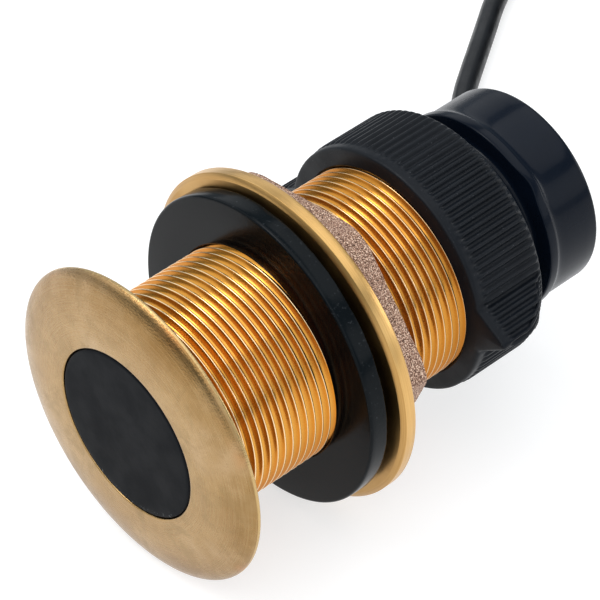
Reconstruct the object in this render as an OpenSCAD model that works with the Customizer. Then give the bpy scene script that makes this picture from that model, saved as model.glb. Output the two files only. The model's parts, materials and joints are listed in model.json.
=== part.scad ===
// Through-hull sonar transducer: a bronze flanged stem with a hull washer and
// hull nut, a plastic cap nut and a retractable insert that holds the sounding
// element. It lies on its flange rim and its hull-nut rim, with its cable
// coiled beside it. Millimetres, +Z up, the stem along +X.

/* [Flange and stem] */
// Diameter of the round outer flange
flange_d = 74.8; // [70:0.2:90]
// Height of the domed flange from its face to its rear
flange_t = 4.6; // [3:0.1:8]
// Radius of the rounded rear edge of the flange
rim_r = 0.4; // [0.2:0.1:1]
// Radius at which the flange face starts to fall away in a low dome
dome_r = 21; // [20.5:0.1:30]
// Outside diameter of the threaded stem
stem_d = 50.8; // [40:0.2:60]
// Height of the stem's end above the window face
stem_top = 87; // [70:0.5:110]
// Diameter of the opening round the window
mouth_d = 40.9; // [36:0.1:44]
// Diameter of the stem's bore above the mouth
bore_d = 43; // [40:0.1:46]

/* [Hull washer] */
// Outside diameter of the hull washer
washer_d = 73.9; // [60:0.1:80]
// Thickness of the hull washer
washer_t = 4.6; // [2:0.1:8]
// Front face of the washer above the window face
washer_z = 36.8; // [10:0.1:60]
// Lean of the loose washer on the thread
washer_lean = 1.6; // [0:0.1:2]

/* [Hull nut] */
// Diameter of the round flange of the hull nut
nut_flange_d = 79.2; // [60:0.1:90]
// Thickness of the round flange of the hull nut
nut_flange_t = 3.7; // [2:0.1:6]
// Front face of the hull nut above the window face
nut_z = 42.9; // [15:0.1:70]
// Height of the hull nut with its hexagon
nut_h = 12.6; // [8:0.1:20]
// Size of the hexagon across its flats
hex_af = 60.4; // [50:0.1:70]
// Turn of the hexagon about the stem
hex_turn = 25.3; // [0:0.1:60]

/* [Cap nut] */
// Front face of the cap nut above the window face
cap_z = 74.8; // [60:0.1:90]
// Height of the cap nut
cap_h = 20.2; // [10:0.1:30]
// Outside diameter of the cap nut
cap_d = 60.8; // [52:0.1:70]
// Reach of the two grip wings from the axis
wing_r = 37.6; // [31:0.1:42]
// Length of the grip wings at their full reach
wing_l = 4.2; // [2:0.1:10]
// Half width of a grip wing at its root
wing_w = 6; // [3:0.1:9]

/* [Insert] */
// Diameter of the acoustic window
window_d = 40.4; // [36:0.1:42]
// Thickness of the acoustic window
window_t = 4; // [2:0.1:8]
// Diameter of the insert inside the stem
insert_d = 42.7; // [38:0.1:44]
// Diameter of the cavity in the insert
cavity_d = 35.6; // [30:0.1:38]
// Height of the insert's rim above the window face
insert_top = 117.7; // [100:0.1:140]
// Lower edge of the lip of the grip drum
lip_z = 102; // [96:0.1:110]
// Diameter of the lip of the grip drum
lip_d = 49.6; // [44:0.1:56]
// Diameter of the grip drum
drum_d = 48.4; // [44:0.1:56]
// Depth of the recess in the top of the drum
recess_h = 12; // [4:0.5:13]

/* [Sounding element] */
// Diameter of the piezo ceramic disc
piezo_d = 32; // [20:0.5:34]
// Thickness of the piezo ceramic disc
piezo_t = 9; // [4:0.5:12]
// Thickness of the backing pad
backing_t = 6; // [3:0.5:10]

/* [Cable] */
// Diameter of the cable
cable_d = 6; // [4:0.5:10]
// Inner radius of the coil
coil_ri = 24; // [20:1:60]
// Outer radius of the coil
coil_ro = 60; // [40:1:90]
// Height of the coil
coil_h = 36; // [12:1:60]

/* [Hidden] */
$fn = 96;
e = 0.01;

// The part rests on the front edge of the hull nut's rim and on the rounded
// rim of the flange, so the stem leans by this angle.
rest_r = nut_flange_d/2;
rest_z = nut_z + 0.3;
rim_cr = flange_d/2 - rim_r;
rim_cz = flange_t - rim_r;
lean_a = rest_r - rim_cr;
lean_b = rest_z - rim_cz;
lean = acos(rim_r/sqrt(lean_a*lean_a + lean_b*lean_b)) - atan2(lean_b, lean_a);
axis_h = rest_r*cos(lean) - rest_z*sin(lean);

// Face of the flange, from its flat middle out to the rim.
dome = [for (i = [0:12]) let(u = 1 - pow(1 - i/12, 1.7))
  [dome_r + (flange_d/2 - dome_r)*u, rim_cz*(1 - sqrt(max(0, 1 - pow(u, 2.2))))]];

// Middle of the part along X, measured from the window's centre.
x_lo = min([for (q = dome) q[1]*cos(lean) - q[0]*sin(lean)]);
x_hi = insert_top*cos(lean) + (drum_d/2 - 0.9)*sin(lean);
x_mid = (x_lo + x_hi)/2;

wing_run = cap_h - 2;
stem_r = stem_d/2;
collar_z = stem_top;
collar_t = 4.4;
web_z = collar_z + collar_t;
neck_r = 20;
recess_z = insert_top - recess_h;
cable_r = cable_d/2;
nut_bore_r = stem_r + 0.08;
ring_z = [16, 66];
board_z = 56;
board_h = 24;
lead_x = 9;

// Route of the cable from inside the insert to the coil, from the floor under
// the window's centre: out of the drum, down to the floor and away behind.
cable_route = [
  [101, 0, 42.8], [105.5, 0, 43.05], [110, 0, 43.3], [116.4, 0.5, 43.1],
  [122.4, 2.3, 41.45], [127.7, 5.1, 38.7], [131.7, 8.65, 34.9], [134.7, 12.65, 30.4],
  [136.8, 17.4, 25.2], [139.3, 23.9, 19.3], [142.3, 31.4, 13.4], [146.3, 39.8, 8.1],
  [151.3, 48.3, 4.7], [157.8, 57.2, 3.2], [165.4, 65.8, 3], [173.5, 73.2, 3],
  [182, 79.3, 3], [190.5, 85.1, 3], [200, 91.6, 3], [210, 98.4, 3],
  [217.3, 102.6, 3], [226, 106, 3.1], [235.2, 108.1, 3.3], [243.6, 108.7, 3.6],
  [255, 108.7, 4], [266.5, 108.7, 4.2]];

// Tapered boot round the cable, from the floor of the recess into the bend.
boot_route = [[105.6, 0, 43.06], [107.2, 0, 43.15], [107.9, 0, 43.19], [110, 0, 43.3],
  [116.4, 0.5, 43.1], [122.4, 2.3, 41.45], [127.7, 5.1, 38.7]];
boot_radii = [7, 7, 5.7, 5.3, 4.8, 4.3, 3.8];

// Coil on the floor, on its two ties, with the connector lying on it.
coil_c = [293.6, 51.7];
coil_z = 1.2;
tie_t = 1.2;
tie_w = 5;
tie_turns = [132, 330];
plug_a = 170;
plug_r = 9.5;
plug_z = coil_z + coil_h + plug_r;
tail_r = 42;
tail_bend = 30;
tail_in = 24;
tail_turn = atan2(tail_in, tail_r - tail_bend);
tail_arc = tail_bend*tail_turn*PI/180;
tail_out = norm([tail_r - tail_bend, tail_in]) + tail_bend;
tail_c = coil_c + (tail_r - tail_bend)*[cos(plug_a), sin(plug_a)]
  + tail_in*[cos(plug_a + 90), sin(plug_a + 90)];

// End of the cable, by its distance from the connector: an easy bend that climbs
// to the connector, out of the outermost turn on top of the coil.
function ease(s) = s*s*(3 - 2*s);
function tail_point(d) = let(
    b = plug_a + (d < tail_arc ? d/tail_bend : 0)*180/PI,
    c = plug_a + tail_turn + (d - tail_arc)/tail_out*180/PI,
    q = d < tail_arc ? tail_c + tail_bend*[cos(b), sin(b)] : coil_c + tail_out*[cos(c), sin(c)])
  [q[0], q[1], coil_z + coil_h + cable_r + (plug_r - cable_r)*(1 - ease(min(1, d/50)))];
function plug_point(d) =
  [coil_c[0] + tail_r*cos(plug_a) + d*cos(plug_a + 90),
   coil_c[1] + tail_r*sin(plug_a) + d*sin(plug_a + 90), plug_z];
tail_route = concat([plug_point(20), plug_point(tail_in)],
  [for (i = [1:14]) tail_point(6.6*i)]);

function unit(v) = v/norm(v);
function heading(p, i) =
  unit(p[min(i + 1, len(p) - 1)] - p[max(i - 1, 0)]);
function side_of(t) = unit(cross(t, abs(t[2]) > 0.95 ? [1, 0, 0] : [0, 0, 1]));

function ring_points(p, i, r, n) = let(t = heading(p, i), s = side_of(t), b = cross(s, t))
  [for (j = [0:n - 1]) p[i] + r*cos(360*j/n)*s + r*sin(360*j/n)*b];

module stem_frame() {
  translate([-x_mid, 0, axis_h]) rotate([0, 90 - lean, 0]) children();
}

module on_floor() { translate([-x_mid, 0, 0]) children(); }

module tube(z, h, ro, ri) {
  translate([0, 0, z]) difference() {
    cylinder(h = h, r = ro);
    translate([0, 0, -1]) cylinder(h = h + 2, r = ri);
  }
}

module ring_of(r, z, s) {
  translate([0, 0, z]) rotate_extrude() translate([r, 0]) circle(r = s, $fn = 48);
}

// A round tube through a list of points, with a flat disc at each end.
module swept(p, r, n = 10) {
  k = len(p);
  pts = [for (i = [0:k - 1]) let(t = heading(p, i), s = side_of(t), b = cross(s, t))
    for (j = [0:n - 1]) p[i] + r*cos(360*j/n)*s + r*sin(360*j/n)*b];
  faces = concat(
    [[for (j = [0:n - 1]) j]],
    [[for (j = [0:n - 1]) (k - 1)*n + n - 1 - j]],
    [for (i = [0:k - 2]) for (j = [0:n - 1]) let(m = (j + 1)%n)
      [i*n + j, (i + 1)*n + j, (i + 1)*n + m, i*n + m]]);
  polyhedron(points = pts, faces = faces, convexity = 10);
}

// A hollow sleeve through a list of points, with an outer radius at each point
// and one bore radius.
module sleeve(p, radii, bore, n = 20) {
  k = len(p);
  pts = concat([for (i = [0:k - 1]) each ring_points(p, i, radii[i], n)],
    [for (i = [0:k - 1]) each ring_points(p, i, bore, n)]);
  faces = [for (j = [0:n - 1]) let(m = (j + 1)%n, a = k*n, z = (k - 1)*n) each concat(
    [[j, m, a + m, a + j], [z + m, z + j, a + z + j, a + z + m]],
    [for (i = [0:k - 2]) each [
      [i*n + j, (i + 1)*n + j, (i + 1)*n + m, i*n + m],
      [a + i*n + m, a + (i + 1)*n + m, a + (i + 1)*n + j, a + i*n + j]]])];
  polyhedron(points = pts, faces = faces, convexity = 10);
}

// Bronze casting: the domed flange and the stem in one piece.
module housing() color([0.80, 0.62, 0.38]) stem_frame() difference() {
  union() {
    rotate_extrude() polygon(concat(
      [[mouth_d/2 - 2, flange_t], [mouth_d/2 - 2, 0]], dome,
      [for (a = [18:18:90]) [rim_cr + rim_r*cos(a), rim_cz + rim_r*sin(a)]]));
    translate([0, 0, 1]) cylinder(h = stem_top - 1.8, r = stem_r);
    translate([0, 0, stem_top - 0.8 - e]) cylinder(h = 0.8 + e, r1 = stem_r, r2 = stem_r - 0.8);
  }
  translate([0, 0, -1]) cylinder(h = 11, r = mouth_d/2);
  translate([0, 0, 9]) cylinder(h = 1.05, r1 = mouth_d/2, r2 = bore_d/2);
  translate([0, 0, 10]) cylinder(h = stem_top, r = bore_d/2);
}

module hull_washer() color([0.06, 0.06, 0.065]) stem_frame()
  translate([0, 0, washer_z]) rotate([0, 0, 131]) rotate([0, -washer_lean, 0])
  difference() {
    rotate_extrude() polygon([[20, 0], [washer_d/2 - 0.5, 0], [washer_d/2, 0.5],
      [washer_d/2, washer_t - 0.3], [washer_d/2 - 0.3, washer_t], [20, washer_t]]);
    translate([0, 0, -1]) cylinder(h = washer_t + 2, r = stem_r + 0.25);
  }

module hull_nut() color([0.78, 0.58, 0.34]) stem_frame() translate([0, 0, nut_z])
  difference() {
    union() {
      rotate_extrude() polygon([[20, 0], [rest_r - 1.36, 0], [rest_r, 0.3],
        [rest_r, nut_flange_t - 0.4], [rest_r - 0.4, nut_flange_t], [20, nut_flange_t]]);
      intersection() {
        rotate([0, 0, hex_turn]) linear_extrude(height = nut_h)
          circle(d = hex_af/cos(30), $fn = 6);
        rotate_extrude() polygon([[0, 0], [hex_af/2 + 6, 0],
          [hex_af/2 + 6, nut_h - 1.6], [hex_af/2 + 2.6, nut_h], [0, nut_h]]);
      }
    }
    translate([0, 0, -1]) cylinder(h = nut_h + 2, r = nut_bore_r);
  }

// A grip wing: full reach at the front, its ridge falling to the round behind.
module wing() intersection() {
  linear_extrude(height = wing_run) polygon(concat(
    [[20, -wing_w], [cap_d/2 - 0.8, -wing_w]],
    [for (a = [-48:12:48]) [wing_r - 1.3 + 1.3*cos(a), 1.3*sin(a)]],
    [[cap_d/2 - 0.8, wing_w], [20, wing_w]]));
  rotate_extrude() polygon(concat([[0, -1], [wing_r + 0.2, -1]],
    [for (i = [0:8]) [wing_r + 0.2 - (wing_r + 0.5 - cap_d/2)*pow(i/8, 2),
      wing_l + (wing_run - wing_l)*i/8]], [[0, wing_run]]));
}

module cap_nut() color([0.10, 0.10, 0.11]) stem_frame() translate([0, 0, cap_z])
  difference() {
    union() {
      rotate_extrude() polygon([[10, 0], [cap_d/2 - 0.5, 0], [cap_d/2, 0.5],
        [cap_d/2, cap_h - 1.5], [cap_d/2 - 0.5, cap_h - 0.5], [cap_d/2 - 1.3, cap_h],
        [10, cap_h]]);
      for (a = [-90, 90]) rotate([0, 0, a]) wing();
    }
    translate([0, 0, -1]) cylinder(h = web_z - cap_z + 1, r = nut_bore_r);
    cylinder(h = cap_h + 2, r = neck_r + 0.8);
  }

// One moulded shell: barrel, collar, neck and grip drum.
module insert_body() color([0.05, 0.05, 0.055]) stem_frame() difference() {
  rotate_extrude() polygon([[0, window_t], [window_d/2, window_t], [window_d/2, 9],
    [insert_d/2, 10.2], [insert_d/2, collar_z], [24.2, collar_z], [24.2, web_z],
    [neck_r, web_z], [neck_r, lip_z - 1.2], [neck_r + 1.2, lip_z], [lip_d/2 - 0.5, lip_z],
    [lip_d/2, lip_z + 0.5], [lip_d/2, lip_z + 2.3], [lip_d/2 - 0.4, lip_z + 2.9],
    [drum_d/2 + 0.1, lip_z + 3.5], [drum_d/2, lip_z + 4.6], [drum_d/2, insert_top - 0.9],
    [drum_d/2 - 0.3, insert_top - 0.3], [drum_d/2 - 0.9, insert_top], [0, insert_top]]);
  translate([0, 0, window_t - 1]) cylinder(h = 96.5 - window_t + 1, r = cavity_d/2);
  translate([0, 0, recess_z]) cylinder(h = recess_h + 1, r = drum_d/2 - 2.6);
  translate([0, 0, 90]) cylinder(h = 20, r = cable_r + 0.25);
  for (z = ring_z) tube(z - 1.5, 3, insert_d/2 + 1, 19.3);
}

module acoustic_window() color([0.035, 0.037, 0.042]) stem_frame()
  rotate_extrude() polygon([[0, 0], [window_d/2 - 0.3, 0], [window_d/2, 0.3],
    [window_d/2, window_t], [0, window_t]]);

module piezo_disc() color([0.80, 0.78, 0.70]) stem_frame()
  translate([0, 0, window_t]) cylinder(h = piezo_t, d = piezo_d);

module isolation_sleeve() color([0.62, 0.48, 0.32]) stem_frame()
  tube(window_t, piezo_t, cavity_d/2, piezo_d/2);

module backing_pad() color([0.30, 0.29, 0.27]) stem_frame() difference() {
  translate([0, 0, window_t + piezo_t]) cylinder(h = backing_t, d = cavity_d);
  for (x = [-lead_x, lead_x]) translate([x, 0, 0]) cylinder(h = 60, r = 0.7);
}

module lead(x) translate([x, 0, window_t + piezo_t])
  cylinder(h = board_z + 5 - window_t - piezo_t, r = 0.7);

module signal_lead() color([0.75, 0.12, 0.10]) stem_frame() lead(lead_x);

module return_lead() color([0.08, 0.08, 0.08]) stem_frame() lead(-lead_x);

module board_shape() translate([-13, 0.7, board_z]) cube([26, 1.6, board_h]);

module splice_board() color([0.10, 0.32, 0.16]) stem_frame() board_shape();

module core_shape() translate([0, 2.3, board_z + board_h/2 + 1]) rotate([-90, 0, 0])
  cylinder(h = 9, r = 8);

module matching_transformer() color([0.20, 0.20, 0.21]) stem_frame() core_shape();

module potting_compound() color([0.12, 0.11, 0.10]) stem_frame() difference() {
  translate([0, 0, window_t + piezo_t + backing_t])
    cylinder(h = 96.5 - window_t - piezo_t - backing_t, d = cavity_d);
  lead(lead_x);
  lead(-lead_x);
  board_shape();
  core_shape();
}

module lower_o_ring() color([0.03, 0.03, 0.03]) stem_frame()
  ring_of((19.3 + bore_d/2)/2, ring_z[0], (bore_d/2 - 19.3)/2);

module upper_o_ring() color([0.03, 0.03, 0.03]) stem_frame()
  ring_of((19.3 + bore_d/2)/2, ring_z[1], (bore_d/2 - 19.3)/2);

// A flexible tapered boot that stands in the recess and bends with the cable.
module strain_relief() color([0.04, 0.04, 0.045]) on_floor()
  sleeve(boot_route, boot_radii, cable_r + 0.3);

module cable_run() color([0.05, 0.05, 0.05]) on_floor() swept(cable_route, cable_r);

module cable_coil() color([0.05, 0.05, 0.05]) on_floor()
  translate([coil_c[0], coil_c[1], coil_z]) rotate_extrude() polygon([
    [coil_ri + 2, 0], [coil_ro - 2, 0], [coil_ro, 2], [coil_ro, coil_h - 2],
    [coil_ro - 2, coil_h], [coil_ri + 2, coil_h], [coil_ri, coil_h - 2], [coil_ri, 2]]);

module coil_tie() difference() {
  translate([coil_ri - tie_t, -tie_w/2, 0])
    cube([coil_ro - coil_ri + 2*tie_t, tie_w, coil_h + 2*tie_t]);
  translate([0, 0, tie_t]) rotate_extrude() polygon([
    [coil_ri - 0.1, 0], [coil_ro + 0.1, 0], [coil_ro + 0.1, coil_h], [coil_ri - 0.1, coil_h]]);
}

module coil_ties() color([0.08, 0.08, 0.08]) on_floor()
  translate([coil_c[0], coil_c[1], 0]) for (a = tie_turns) rotate([0, 0, a]) coil_tie();

module cable_tail() color([0.05, 0.05, 0.05]) on_floor() swept(tail_route, cable_r);

// The connector lies along the coil with its face away from the cable.
module plug_frame() on_floor()
  translate([coil_c[0] + tail_r*cos(plug_a), coil_c[1] + tail_r*sin(plug_a), plug_z])
  rotate([0, 0, plug_a - 90]) rotate([0, 90, 0]) children();

module connector_body() color([0.06, 0.06, 0.065]) plug_frame() difference() {
  rotate_extrude() polygon([[0, -20], [3.9, -20], [5.2, -12], [7.4, -9], [7.4, 4],
    [8.2, 4], [8.2, 20], [6.9, 20], [6.9, 9], [0, 9]]);
  translate([0, 0, -21]) cylinder(h = 20, r = cable_r + 0.05);
}

module connector_collar() color([0.10, 0.10, 0.11]) plug_frame() difference() {
  translate([0, 0, 4]) cylinder(h = 14, r = plug_r);
  translate([0, 0, 3]) cylinder(h = 16, r = 8.2);
}

module connector_core() color([0.16, 0.16, 0.17]) plug_frame() difference() {
  translate([0, 0, 9]) cylinder(h = 4, r = 6.9);
  for (a = [0:72:359]) rotate([0, 0, a]) translate([4, 0, 8]) cylinder(h = 6, r = 0.8);
}

module connector_pins() color([0.85, 0.68, 0.32]) plug_frame()
  for (a = [0:72:359]) rotate([0, 0, a]) translate([4, 0, 9]) cylinder(h = 9.5, r = 0.8);

housing();
hull_washer();
hull_nut();
cap_nut();
insert_body();
acoustic_window();
piezo_disc();
isolation_sleeve();
backing_pad();
signal_lead();
return_lead();
splice_board();
matching_transformer();
potting_compound();
lower_o_ring();
upper_o_ring();
strain_relief();
cable_run();
cable_coil();
coil_ties();
cable_tail();
connector_body();
connector_collar();
connector_core();
connector_pins();
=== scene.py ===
import json
import math

import bmesh
import bpy
import numpy as np
from mathutils import Matrix


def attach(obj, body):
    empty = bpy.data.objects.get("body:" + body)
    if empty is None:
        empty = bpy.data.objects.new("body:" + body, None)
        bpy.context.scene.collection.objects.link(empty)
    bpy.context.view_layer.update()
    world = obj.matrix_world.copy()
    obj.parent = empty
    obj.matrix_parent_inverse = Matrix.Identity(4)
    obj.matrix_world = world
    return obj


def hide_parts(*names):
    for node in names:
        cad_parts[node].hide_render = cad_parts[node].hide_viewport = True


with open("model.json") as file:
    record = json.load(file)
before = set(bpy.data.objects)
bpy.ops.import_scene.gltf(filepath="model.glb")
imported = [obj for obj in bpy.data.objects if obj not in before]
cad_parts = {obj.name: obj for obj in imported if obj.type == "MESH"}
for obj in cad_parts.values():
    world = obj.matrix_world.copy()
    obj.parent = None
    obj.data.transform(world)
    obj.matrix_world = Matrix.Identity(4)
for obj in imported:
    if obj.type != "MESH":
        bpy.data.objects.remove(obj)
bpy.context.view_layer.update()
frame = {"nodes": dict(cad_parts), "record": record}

scene = bpy.context.scene
cad = frame["nodes"]

# Stem frame: z along the stem from the window face, x down, y across (mm).
LEAN = math.radians(3.2277171)
ST, CT = math.sin(LEAN), math.cos(LEAN)
X_MID, AXIS_H = 58.7563, 37.1048


def stem(p):
    p = np.asarray(p, float)
    return np.stack([-X_MID + p[..., 0]*ST + p[..., 2]*CT, p[..., 1],
                     AXIS_H - p[..., 0]*CT + p[..., 2]*ST], -1)*0.001


def floor_mm(p):
    p = np.asarray(p, float)
    return np.stack([p[..., 0] - X_MID, p[..., 1], p[..., 2]], -1)*0.001


# ---------------------------------------------------------------- camera
cam = bpy.data.objects.new("camera", bpy.data.cameras.new("camera"))
scene.collection.objects.link(cam)
cam.data.sensor_width = 36
cam.data.lens = 199.918
cam.data.clip_start = 0.05
cam.data.clip_end = 20
cam.matrix_world = Matrix((
    (0.7371659, 0.4217224, -0.5279551, -0.3883601),
    (-0.6757117, 0.4600769, -0.5759713, -0.4136671),
    (0.0, 0.7813319, 0.6241158, 0.4947281),
    (0, 0, 0, 1)))
scene.camera = cam
scene.view_settings.view_transform = "Standard"

# ---------------------------------------------------------------- materials
SK = "ShaderNode"


class Mat:
    """A small wrapper to write node materials in a few lines."""

    def __init__(self, name, rough=0.5, metal=0.0, **fixed):
        self.m = bpy.data.materials.new(name)
        self.m.use_nodes = True
        self.t = self.m.node_tree
        self.b = self.t.nodes["Principled BSDF"]
        self.b.inputs["Roughness"].default_value = rough
        self.b.inputs["Metallic"].default_value = metal
        for k, v in fixed.items():
            self.b.inputs[k.replace("_", " ")].default_value = v
        self._p = None
        self._s = None

    def node(self, kind, **attrs):
        n = self.t.nodes.new(SK + kind)
        for k, v in attrs.items():
            setattr(n, k, v)
        return n

    def put(self, socket, value):
        if isinstance(value, bpy.types.NodeSocket):
            self.t.links.new(value, socket)
        else:
            socket.default_value = value

    def p(self):
        if self._p is None:
            self._p = self.node("TexCoord").outputs["Object"]
        return self._p

    def math(self, op, a, b=0.0):
        n = self.node("Math", operation=op)
        self.put(n.inputs[0], a)
        self.put(n.inputs[1], b)
        return n.outputs[0]

    def vec(self, op, a, b=(0, 0, 0)):
        n = self.node("VectorMath", operation=op)
        self.put(n.inputs[0], a)
        self.put(n.inputs[1], b)
        return n.outputs["Value" if op in ("DOT_PRODUCT", "LENGTH") else "Vector"]

    def xyz(self, x, y, z):
        n = self.node("CombineXYZ")
        for s, v in zip(n.inputs, (x, y, z)):
            self.put(s, v)
        return n.outputs[0]

    def stem(self):
        """lx, ly, z and r in mm in the stem's own frame."""
        if self._s is None:
            q = self.vec("SUBTRACT", self.p(), (-X_MID/1000, 0, AXIS_H/1000))
            lx = self.vec("DOT_PRODUCT", q, (ST*1000, 0, -CT*1000))
            ly = self.vec("DOT_PRODUCT", q, (0, 1000, 0))
            z = self.vec("DOT_PRODUCT", q, (CT*1000, 0, ST*1000))
            r = self.vec("LENGTH", self.xyz(lx, ly, 0.0))
            self._s = (lx, ly, z, r)
        return self._s

    def rings(self, radial, around):
        """Coordinates that run slowly round the stem and fast outwards."""
        lx, ly, z, r = self.stem()
        return self.xyz(self.math("MULTIPLY", r, radial),
                        self.math("MULTIPLY", self.math("DIVIDE", lx, r), around),
                        self.math("MULTIPLY", self.math("DIVIDE", ly, r), around))

    def bands(self, axial, around):
        """Coordinates that run slowly round the stem and fast along it."""
        lx, ly, z, r = self.stem()
        return self.xyz(self.math("MULTIPLY", z, axial),
                        self.math("MULTIPLY", self.math("DIVIDE", lx, r), around),
                        self.math("MULTIPLY", self.math("DIVIDE", ly, r), around))

    def noise(self, scale, detail=4.0, rough=0.55, vec=None, dist=0.0):
        n = self.node("TexNoise")
        self.put(n.inputs["Vector"], vec if vec is not None else self.p())
        n.inputs["Scale"].default_value = scale
        n.inputs["Detail"].default_value = detail
        n.inputs["Roughness"].default_value = rough
        n.inputs["Distortion"].default_value = dist
        return n.outputs[0]

    def cells(self, scale, vec=None):
        n = self.node("TexVoronoi")
        self.put(n.inputs["Vector"], vec if vec is not None else self.p())
        n.inputs["Scale"].default_value = scale
        return n.outputs["Distance"]

    def fit(self, v, a, b, c=0.0, d=1.0):
        n = self.node("MapRange", interpolation_type="SMOOTHSTEP")
        self.put(n.inputs[0], v)
        for s, x in zip(list(n.inputs)[1:5], (a, b, c, d)):
            s.default_value = x
        return n.outputs[0]

    def ramp(self, v, *stops):
        n = self.node("ValToRGB")
        self.put(n.inputs[0], v)
        e = n.color_ramp.elements
        while len(e) < len(stops):
            e.new(0.5)
        for k, (pos, col) in enumerate(stops):
            e[k].position = pos
            e[k].color = (*col, 1)
        return n.outputs[0]

    def mix(self, f, a, b, mode="MIX"):
        n = self.node("Mix", data_type="RGBA", blend_type=mode)
        self.put(n.inputs[0], f)
        for s, v in ((n.inputs[6], a), (n.inputs[7], b)):
            self.put(s, v if isinstance(v, bpy.types.NodeSocket) else (*v, 1))
        return n.outputs[2]

    def bump(self, height, strength, dist, under=None):
        n = self.node("Bump")
        n.inputs["Strength"].default_value = strength
        n.inputs["Distance"].default_value = dist
        self.put(n.inputs["Height"], height)
        if under is not None:
            self.put(n.inputs["Normal"], under)
        return n.outputs[0]

    def set(self, color=None, rough=None, metal=None, normal=None):
        for k, v in (("Base Color", color), ("Roughness", rough), ("Metallic", metal),
                     ("Normal", normal)):
            if v is not None:
                self.put(self.b.inputs[k], v)
        return self.m


def bronze_housing():
    m = Mat("bronze_housing", metal=1.0)
    lx, ly, z, r = m.stem()
    stem_part = m.math("MULTIPLY", m.fit(r, 26.4, 25.6), m.fit(z, 3.0, 4.0))
    blotch = m.noise(55, 3)
    swirl = m.noise(1.0, 5, 0.6, m.rings(5.0, 3.0), 0.4)
    fine = m.noise(1.0, 3, 0.6, m.rings(26.0, 6.0))
    cloud = m.math("MULTIPLY", m.math("SUBTRACT", m.noise(38, 4, 0.6), 0.5), 26.0)
    patina = m.math("ADD", m.math("MULTIPLY", cloud, 1/17), 0.50)
    face = m.ramp(patina, (0.05, (0.545, 0.388, 0.232)), (0.50, (0.405, 0.254, 0.104)),
                  (0.95, (0.270, 0.146, 0.040)))
    face = m.mix(m.fit(blotch, 0.35, 0.65, 0.0, 0.16), face, (0.64, 0.45, 0.25))
    face = m.mix(m.fit(m.noise(190, 5, 0.65, None, 0.6), 0.46, 0.66, 0.0, 0.42), face, (0.30, 0.185, 0.075))
    face = m.mix(m.fit(m.noise(1700, 3, 0.6), 0.52, 0.68, 0.0, 0.20), face, (0.27, 0.165, 0.068))
    stain = m.fit(m.noise(115, 5, 0.65, None, 0.9), 0.47, 0.64, 0.0, 0.34)
    face = m.mix(stain, face, (0.270, 0.180, 0.072))
    outer = m.math("MULTIPLY", m.fit(r, 26.0, 35.5), m.fit(patina, 0.25, 0.80, 0.22, 0.70))
    face = m.mix(outer, face, (0.215, 0.110, 0.030))
    top = m.math("MULTIPLY", lx, -1.0)
    stretch = m.xyz(0.0, m.math("MULTIPLY", ly, 0.00055), m.math("MULTIPLY", lx, 0.001))
    crown = m.math("MULTIPLY", m.fit(m.math("ADD", top, m.math("MULTIPLY", cloud, 0.6)), 18.0, 30.0, 0.0, 0.45),
                   m.math("MULTIPLY", m.fit(m.noise(3800, 3, 0.6, stretch), 0.44, 0.60, 0.0, 1.0),
                          m.fit(ly, -21.0, -9.0)))
    face = m.mix(crown, face, (0.27, 0.145, 0.052))
    face = m.mix(m.fit(swirl, 0.40, 0.70, 0.0, 0.22), face, (0.50, 0.34, 0.175))
    scratch = m.fit(m.noise(1.0, 2, 0.5, m.rings(40.0, 1.6), 0.8), 0.64, 0.72, 0.0, 0.40)
    face = m.mix(scratch, face, (0.78, 0.60, 0.38))
    tarnish = m.math("MULTIPLY", m.fit(r, 34.5, 37.3), m.fit(m.noise(90, 3), 0.52, 0.72))
    face = m.mix(m.math("MULTIPLY", tarnish, 0.45), face, (0.46, 0.20, 0.065))
    # Painted highlight: a thin pale line round the flange's rim edge.
    face = m.mix(m.fit(r, 37.24, 37.36, 0.0, 0.8), face, (0.60, 0.42, 0.19))
    turn = m.noise(1.0, 4, 0.55, m.bands(3.0, 2.0))
    thread = m.ramp(turn, (0.3, (0.57, 0.205, 0.020)), (0.7, (0.63, 0.240, 0.028)))
    thread = m.mix(m.fit(r, 25.1, 24.35), thread, (0.64, 0.300, 0.052))
    # Pale crest line: partly worn crests, partly a painted highlight along the thread's crests.
    thread = m.mix(m.fit(r, 25.28, 25.38), thread, (0.92, 0.70, 0.42))
    # Painted shade: the thread from the hull nut on towards the cap nut is darkened, as if shaded by the two nuts.
    thread = m.mix(m.fit(z, 50.0, 56.0, 0.0, 0.30), thread, (0.42, 0.155, 0.018))
    # Painted shade: the thread is darkened close to the cap nut, where the cap shades it.
    thread = m.mix(m.fit(z, 69.5, 75.0, 0.0, 0.25), thread, (0.21, 0.072, 0.010))
    color = m.mix(stem_part, face, thread)
    rough_face = m.math("ADD", m.fit(swirl, 0.3, 0.7, 0.20, 0.29),
                        m.math("ADD", m.math("MULTIPLY", m.fit(blotch, 0.4, 0.7), 0.05),
                               m.math("MULTIPLY", stain, 0.16)))
    rough_stem = m.fit(turn, 0.3, 0.7, 0.19, 0.25)
    mixr = m.math("ADD", m.math("MULTIPLY", rough_face, m.math("SUBTRACT", 1.0, stem_part)),
                  m.math("MULTIPLY", rough_stem, stem_part))
    pits = m.math("MULTIPLY", m.fit(m.noise(2600, 3, 0.6, stretch), 0.35, 0.62), m.fit(z, 4.4, 4.2))
    grain_zone = m.math("MULTIPLY", m.fit(m.math("ADD", m.math("MULTIPLY", lx, -1.0), cloud), 2.0, 26.0, 0.12, 1.0),
                        m.math("SUBTRACT", 1.0, stem_part))
    plain = m.math("SUBTRACT", 1.0, stem_part)
    h = m.math("ADD", m.math("MULTIPLY", pits, grain_zone),
               m.math("MULTIPLY", m.math("MULTIPLY", fine, plain), 0.16))
    return m.set(color, mixr, normal=m.bump(h, 0.15, 0.0003))


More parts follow.
